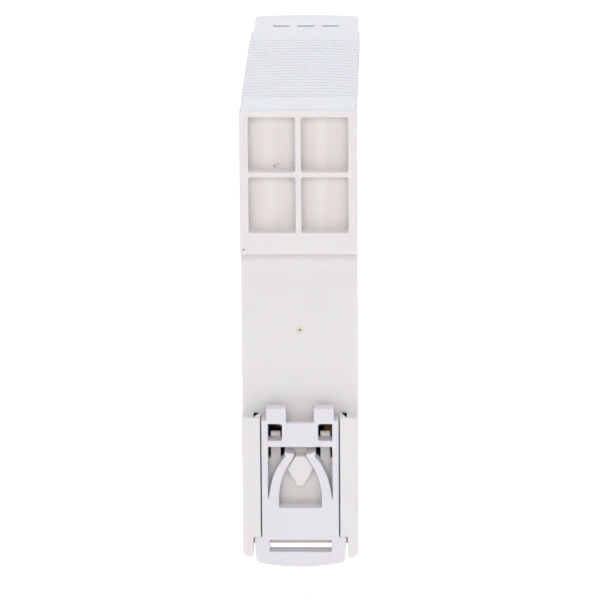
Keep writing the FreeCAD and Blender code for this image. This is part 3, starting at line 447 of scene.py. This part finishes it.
class Nodes:
    """A short way to write a node material."""

    def __init__(self, name):
        self.material = bpy.data.materials.new(name)
        self.material.use_nodes = True
        self.tree = self.material.node_tree
        self.shader = self.tree.nodes["Principled BSDF"]
        self.place = self.add("ShaderNodeTexCoord").outputs["Object"]

    def add(self, kind, **values):
        node = self.tree.nodes.new(kind)
        for key, value in values.items():
            setattr(node, key, value)
        return node

    def link(self, source, target):
        self.tree.links.new(source, target)

    def feed(self, socket, value):
        """Give an input a plain value or link it to another socket."""
        if isinstance(value, bpy.types.NodeSocket):
            self.link(value, socket)
        else:
            socket.default_value = value

    def noise(self, scale, detail=3.0, rough=0.55, stretch=None):
        """Noise with a feature about 1/scale metres across."""
        place = self.place
        if stretch is not None:
            mapping = self.add("ShaderNodeMapping")
            mapping.inputs["Scale"].default_value = stretch
            self.link(place, mapping.inputs["Vector"])
            place = mapping.outputs["Vector"]
        noise = self.add("ShaderNodeTexNoise")
        noise.inputs["Scale"].default_value = scale
        noise.inputs["Detail"].default_value = detail
        noise.inputs["Roughness"].default_value = rough
        self.link(place, noise.inputs["Vector"])
        return noise.outputs["Fac"]

    def ramp(self, value, low, high, out_low=0.0, out_high=1.0):
        span = self.add("ShaderNodeMapRange")
        span.inputs["From Min"].default_value = low
        span.inputs["From Max"].default_value = high
        span.inputs["To Min"].default_value = out_low
        span.inputs["To Max"].default_value = out_high
        self.link(value, span.inputs["Value"])
        return span.outputs["Result"]

    def mix(self, factor, first, second):
        """A colour between two, each a colour or a socket."""
        mix = self.add("ShaderNodeMix", data_type="RGBA")
        self.link(factor, mix.inputs["Factor"])
        self.feed(mix.inputs[MIX_COLOURS[0]], first)
        self.feed(mix.inputs[MIX_COLOURS[1]], second)
        return mix.outputs[MIX_RESULT]

    def math(self, operation, *values):
        """One calculation on numbers and sockets."""
        node = self.add("ShaderNodeMath", operation=operation)
        for socket, value in zip(node.inputs, values):
            self.feed(socket, value)
        return node.outputs["Value"]

    def distance(self, first, second):
        return self.math("ABSOLUTE", self.math("SUBTRACT", first, second))

    def axis(self, name):
        split = self.add("ShaderNodeSeparateXYZ")
        self.link(self.place, split.inputs["Vector"])
        return split.outputs[name]

    def spot(self, place, radius):
        """1 within a radius of a place in millimetres, with a ragged edge."""
        reach = self.add("ShaderNodeVectorMath", operation="DISTANCE")
        self.link(self.place, reach.inputs[0])
        reach.inputs[1].default_value = Vector(place) * MM
        edge = self.noise(2600, 2.0)
        ragged = self.math("MULTIPLY_ADD", edge, radius * MM, reach.outputs["Value"])
        inner, outer = SPECK_FADE
        return self.ramp(ragged, radius * outer * MM, radius * inner * MM)

    def streak(self):
        """A painted highlight: a soft light streak down the floor of each pocket."""
        across = self.math("SUBTRACT", POCKET_FAR * MM, self.axis("X"))
        across = self.math("FLOORED_MODULO", across, POCKET_PITCH * MM)
        away = self.distance(across, STREAK * MM)
        return self.ramp(away, STREAK_FADE[1] * MM, STREAK_FADE[0] * MM)

    def parting_line(self):
        """A hairline across the seat."""
        away = self.distance(self.axis("Z"), PARTING_Z * MM)
        return self.ramp(away, PARTING_FADE[1] * MM, PARTING_FADE[0] * MM)

    def in_groove(self):
        """1 in the cross grooves of the ribbed grip."""
        along = self.math("SUBTRACT", GROOVE_START * MM, self.axis("Y"))
        step = self.math("FLOORED_MODULO", along, GROOVE_PITCH * MM)
        away = self.distance(step, GROOVE_PITCH / 2 * MM)
        stripe = self.ramp(away, GROOVE_FADE[1] * MM, GROOVE_FADE[0] * MM)
        begun = self.math("GREATER_THAN", along, 0.0)
        in_run = self.math("LESS_THAN", along, GROOVE_RUN * MM)
        on_top = self.math("GREATER_THAN", self.axis("Z"), GROOVE_LOW * MM)
        band = self.math("MULTIPLY", self.math("MULTIPLY", begun, in_run), on_top)
        return self.math("MULTIPLY", stripe, band)

    def in_recess(self):
        """1 on the floors behind the hook and the foot, 0 on the seat and the outer faces."""
        # mask of the warm painted shade tone on the recess floors
        height = self.math("ABSOLUTE", self.axis("Z"))
        beyond_seat = self.ramp(height, SEAT_END[0] * MM, SEAT_END[1] * MM)
        depth = self.ramp(self.axis("Y"), RECESS_FADE[1] * MM, RECESS_FADE[0] * MM)
        return self.math("MULTIPLY", beyond_seat, depth)

    def colour(self, socket):
        self.link(socket, self.shader.inputs["Base Color"])

    def roughness(self, socket):
        self.link(socket, self.shader.inputs["Roughness"])

    def bump(self, *layers):
        """Layers of (height, distance in metres), one over the other."""
        normal = None
        for height, distance in layers:
            bump = self.add("ShaderNodeBump")
            bump.inputs["Strength"].default_value = 1.0
            bump.inputs["Distance"].default_value = distance
            self.link(height, bump.inputs["Height"])
            if normal is not None:
                self.link(normal, bump.inputs["Normal"])
            normal = bump.outputs["Normal"]
        self.link(normal, self.shader.inputs["Normal"])

    def set(self, **values):
        for key, value in values.items():
            self.shader.inputs[key.replace("_", " ")].default_value = value
        return self


def scaled(colour, factor):
    return tuple(channel * factor for channel in colour[:3]) + (1.0,)


def moulded(name, colour, rough=0.5, grain=0.012, specks=(), recesses=None, ribs=False):
    """Injection-moulded plastic: spark-eroded grain, faint flow shading and scuffs.

    Specks are (place, radius, colour), in millimetres. The floors of the rear recesses can have
    a warm tone of painted shade with a painted highlight streak down each pocket, and the
    grooves between the ribs are painted darker as painted shade.
    """
    nodes = Nodes(name)
    flow = nodes.noise(55, 4.0, 0.6, (1.0, 1.0, 0.35))
    cloud = nodes.noise(220, 3.0)
    tone = nodes.mix(nodes.ramp(flow, 0.35, 0.65), scaled(colour, 0.988), scaled(colour, 1.006))
    tone = nodes.mix(nodes.ramp(cloud, 0.55, 0.8, 0.0, 0.35), tone, scaled(colour, 0.965))
    if recesses is not None:
        # painted shade: a warm tone on the recess floors, with a painted highlight streak down each
        # pocket
        painted_floor_light = nodes.mix(nodes.streak(), recesses, scaled(recesses, 1.05))
        tone = nodes.mix(nodes.in_recess(), tone, painted_floor_light)
        tone = nodes.mix(nodes.parting_line(), tone, scaled(colour, 0.97))
    if ribs:
        # painted shade: the grooves between the ribs are painted darker
        tone = nodes.mix(nodes.in_groove(), tone, scaled(colour, GROOVE_PAINTED_SHADE))
    for place, radius, shade in specks:
        tone = nodes.mix(nodes.spot(place, radius), tone, shade)
    nodes.colour(tone)
    nodes.roughness(nodes.ramp(nodes.noise(420, 4.0), 0.3, 0.7, rough - 0.07, rough + 0.07))
    nodes.bump((nodes.noise(5200, 3.0, 0.6), grain * MM), (nodes.noise(140, 2.0), 0.02 * MM))
    nodes.set(Subsurface_Weight=0.3, Subsurface_Scale=1.5 * MM, Specular_IOR_Level=0.42)
    return nodes.material


def metal(name, colour, rough=0.32, brush=(1.0, 1.0, 14.0), tarnish=None):
    """Plated or drawn metal with fine scratches along one direction and slight tarnish."""
    nodes = Nodes(name)
    scratch = nodes.noise(900, 5.0, 0.7, brush)
    patch = nodes.noise(260, 3.0)
    dull = tarnish if tarnish is not None else scaled(colour, 0.72)
    nodes.colour(nodes.mix(nodes.ramp(patch, 0.45, 0.75), colour, dull))
    nodes.roughness(nodes.ramp(scratch, 0.3, 0.7, rough - 0.1, rough + 0.14))
    nodes.bump((scratch, 0.006 * MM))
    nodes.set(Metallic=1.0)
    return nodes.material


def wound_wire(name):
    """Layers of enamelled wire, seen as fine ridges around the coil."""
    nodes = Nodes(name)
    wave = nodes.add("ShaderNodeTexWave", wave_type="BANDS", bands_direction="Y")
    wave.inputs["Scale"].default_value = 900
    wave.inputs["Distortion"].default_value = 0.6
    nodes.link(nodes.place, wave.inputs["Vector"])
    nodes.colour(nodes.mix(wave.outputs["Fac"], srgb(96, 38, 16), srgb(186, 96, 50)))
    nodes.roughness(nodes.ramp(nodes.noise(500), 0.3, 0.7, 0.25, 0.42))
    nodes.bump((wave.outputs["Fac"], 0.04 * MM))
    nodes.set(Metallic=0.6)
    return nodes.material


def laminate(name):
    """Brown phenolic board with a paper grain."""
    nodes = Nodes(name)
    fibre = nodes.noise(700, 5.0, 0.7, (1.0, 0.2, 1.0))
    nodes.colour(nodes.mix(nodes.ramp(fibre, 0.3, 0.7), srgb(148, 98, 48), srgb(196, 146, 84)))
    nodes.roughness(nodes.ramp(nodes.noise(300), 0.3, 0.7, 0.45, 0.62))
    nodes.bump((fibre, 0.02 * MM))
    return nodes.material


def clear(name):
    """Clear acrylic with faint flow marks."""
    nodes = Nodes(name)
    nodes.colour(nodes.mix(nodes.noise(90), srgb(232, 238, 242), srgb(246, 248, 250)))
    nodes.roughness(nodes.ramp(nodes.noise(300), 0.3, 0.7, 0.06, 0.14))
    nodes.set(Transmission_Weight=0.85, IOR=1.49)
    return nodes.material


BASE_WHITE = srgb(230, 226, 226)
# painted shade: the warm tone of the rear recess floors
RECESS_PAINTED_SHADE = srgb(231, 225, 222)
HOOD_WHITE = srgb(231, 231, 236)
FOOT_WHITE = srgb(226, 224, 229)
DIRT = srgb(132, 124, 118)
POCKET_FAR = 9.55           # outer wall of the pockets
POCKET_PITCH = 10.12        # from one pocket to its neighbour
STREAK = 3.8                # from a pocket's wall to the painted highlight streak
STREAK_FADE = (0.5, 1.3)    # full within the first distance of its middle, gone at the second
PARTING_Z = 1.9             # hairline across the seat
PARTING_FADE = (0.04, 0.16)
SEAT_END = (18.5, 18.7)     # height above and below the middle where the seat's tone ends
RECESS_FADE = (0.8, 2.2)    # the painted shade tone of the recesses is full below the first depth
SPECK_FADE = (1.3, 1.6)     # in radii of the speck
GROOVE_START = -7.9         # the ribbed grip starts here and runs to the front
GROOVE_RUN = 50.0
GROOVE_PITCH = 2.5
GROOVE_FADE = (0.315, 0.375)
GROOVE_LOW = 40.4           # the painted shade in the grooves lies above this height only
GROOVE_PAINTED_SHADE = 0.93          # how much darker the painted shade makes the grooves
SPECKS = [
    ((0.0, 0.0, -1.9), 0.85, srgb(226, 217, 204)),
    ((0.0, 0.0, -1.9), 0.3, srgb(188, 176, 160)),
    ((2.3, 2.0, 30.4), 0.22, DIRT),
    ((4.6, 0.6, 31.1), 0.3, srgb(190, 184, 178)),
    ((4.0, 0.6, 31.4), 0.25, srgb(196, 190, 184)),
    ((1.0, 0.5, 23.3), 0.17, DIRT),
    ((1.15, 0.5, 23.05), 0.13, DIRT),
    ((10.6, 4.0, 15.3), 0.2, DIRT),
]

MATERIALS = {
    "base_plastic": moulded("base_plastic", BASE_WHITE, 0.52, 0.012, SPECKS, RECESS_PAINTED_SHADE),
    "hood_plastic": moulded("hood_plastic", HOOD_WHITE, 0.55, 0.014, ribs=True),
    "foot_plastic": moulded("foot_plastic", FOOT_WHITE, 0.46, 0.008),
    "plate_plastic": moulded("plate_plastic", srgb(214, 216, 220), 0.45, 0.006),
    "carrier_plastic": moulded("carrier_plastic", srgb(52, 52, 55), 0.55, 0.02),
    "bobbin_plastic": moulded("bobbin_plastic", srgb(214, 208, 190), 0.45, 0.01),
    "chamber_plastic": moulded("chamber_plastic", srgb(118, 119, 122), 0.6, 0.03),
    "nose_plastic": moulded("nose_plastic", srgb(214, 78, 36), 0.35, 0.004),
    "pad_rubber": moulded("pad_rubber", srgb(42, 42, 42), 0.8, 0.05),
    "capacitor_sleeve": moulded("capacitor_sleeve", srgb(36, 40, 56), 0.28, 0.004),
    "varistor_coat": moulded("varistor_coat", srgb(40, 82, 150), 0.3, 0.02),
    "rectifier_epoxy": moulded("rectifier_epoxy", srgb(34, 34, 35), 0.62, 0.03),
    "core_steel": metal("core_steel", srgb(150, 150, 154), 0.4, (1.0, 1.0, 30.0)),
    "spring_steel": metal("spring_steel", srgb(190, 190, 194), 0.25),
    "screw_steel": metal("screw_steel", srgb(196, 194, 186), 0.3, (1.0, 1.0, 1.0)),
    "cage_steel": metal("cage_steel", srgb(190, 186, 170), 0.36, (1.0, 8.0, 1.0),
                        srgb(160, 150, 118)),
    "copper": metal("copper", srgb(206, 140, 104), 0.34, (1.0, 8.0, 1.0), srgb(150, 92, 62)),
    "contact_silver": metal("contact_silver", srgb(212, 212, 210), 0.3),
    "winding_wire": wound_wire("winding_wire"),
    "board_laminate": laminate("board_laminate"),
    "clear_plastic": clear("clear_plastic"),
}


# ---- visible parts -----------------------------------------------------------------------
for name in ("rear_base", "hood", "front_cap", "marking_plate", "indicator_nose"):
    skin(name)
for name in record["behaviour"]["bodies"]:
    if name.startswith(("screw_", "cage_")):
        skin(record["behaviour"]["bodies"][name][0])
rail_foot()
return_spring()

shown = {name for piece in bpy.data.objects for name in piece.get("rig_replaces", [])}
for name, part in frame["nodes"].items():
    if name not in shown:
        part.data.materials.clear()
        part.data.materials.append(MATERIALS[slots[name]])


# ---- studio ------------------------------------------------------------------------------
def floor():
    shape = bmesh.new()
    bmesh.ops.create_grid(shape, x_segments=8, y_segments=8, size=FLOOR_HALF)
    piece = new_piece("floor", mesh_from(shape, "floor"))
    piece.location.z = cad_box[0][2] - FLOOR_DROP
    nodes = Nodes("floor_paper")
    nodes.colour(nodes.mix(nodes.noise(40), srgb(250, 250, 250), srgb(253, 253, 253)))
    nodes.set(Roughness=0.9, Emission_Color=(1.0, 1.0, 1.0, 1.0), Emission_Strength=FLOOR_GLOW)
    piece.data.materials.append(nodes.material)


def area_light(name, place, aim, size, power, colour):
    light = bpy.data.lights.new(name, "AREA")
    light.shape = "DISK"
    light.size = size
    light.energy = power
    light.color = colour
    lamp = new_piece(name, light)
    lamp.location = place
    lamp.rotation_euler = (Vector(aim) - Vector(place)).to_track_quat("-Z", "Y").to_euler()


def studio():
    floor()
    world = bpy.data.worlds.new("studio")
    world.use_nodes = True
    sky = world.node_tree.nodes["Background"]
    sky.inputs["Color"].default_value = ROOM_COLOUR
    sky.inputs["Strength"].default_value = ROOM_LIGHT
    bpy.context.scene.world = world
    for light in LIGHTS:
        area_light(*light)
    bpy.context.scene.view_settings.view_transform = "Standard"


def camera():
    lens = bpy.data.cameras.new("camera")
    lens.lens = CAMERA_LENS
    lens.sensor_width = SENSOR
    lens.clip_start = CAMERA_NEAR
    eye = new_piece("camera", lens)
    turn = Euler((math.radians(90) + CAMERA_PITCH, 0, CAMERA_TURN)).to_matrix()
    turn = turn @ Matrix.Rotation(CAMERA_ROLL, 3, "Z")
    eye.matrix_world = Matrix.Translation(CAMERA_PLACE) @ turn.to_4x4()
    bpy.context.scene.camera = eye


studio()
camera()
